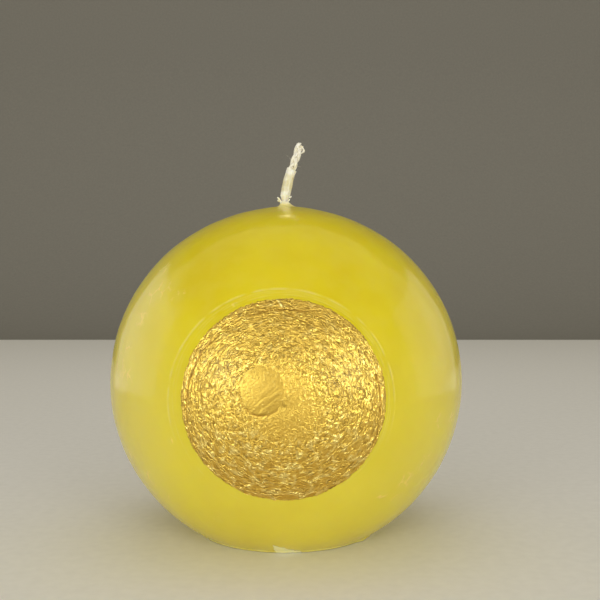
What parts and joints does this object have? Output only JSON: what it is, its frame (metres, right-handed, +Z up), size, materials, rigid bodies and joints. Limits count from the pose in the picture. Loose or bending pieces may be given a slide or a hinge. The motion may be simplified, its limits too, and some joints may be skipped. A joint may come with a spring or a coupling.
{
  "type": "ball candle",
  "caption": "Flat-based ball candle in dipped yellow wax, with a round disc of hand-stippled gold paint on its front and a plaited cotton wick.",
  "frame": {"origin": "middle of the flat base, in the plane the candle stands on", "axes": "+Z up through the wick's foot, -Y out of the gold disc on the front, +X to the right as seen from the front, the way the wick leans"},
  "size_m": [0.1, 0.1002, 0.1112],
  "materials": {
    "pale_wax": "satin",
    "yellow_wax": "gloss",
    "gold_paint": "satin",
    "wick_cotton": "matte",
    "priming_wax": "satin",
    "tin_plate": "satin"
  },
  "bodies": {
    "root": {"wax_core": "pale_wax", "colour_coat": "yellow_wax", "gold_disc": "gold_paint", "gold_dab": "gold_paint", "wick_bead": "priming_wax", "wick_priming_wax": "priming_wax", "wick_strand_1": "wick_cotton", "wick_strand_2": "wick_cotton", "wick_strand_3": "wick_cotton", "wick_tab": "tin_plate", "base_plug": "pale_wax"}
  },
  "joints": []
}
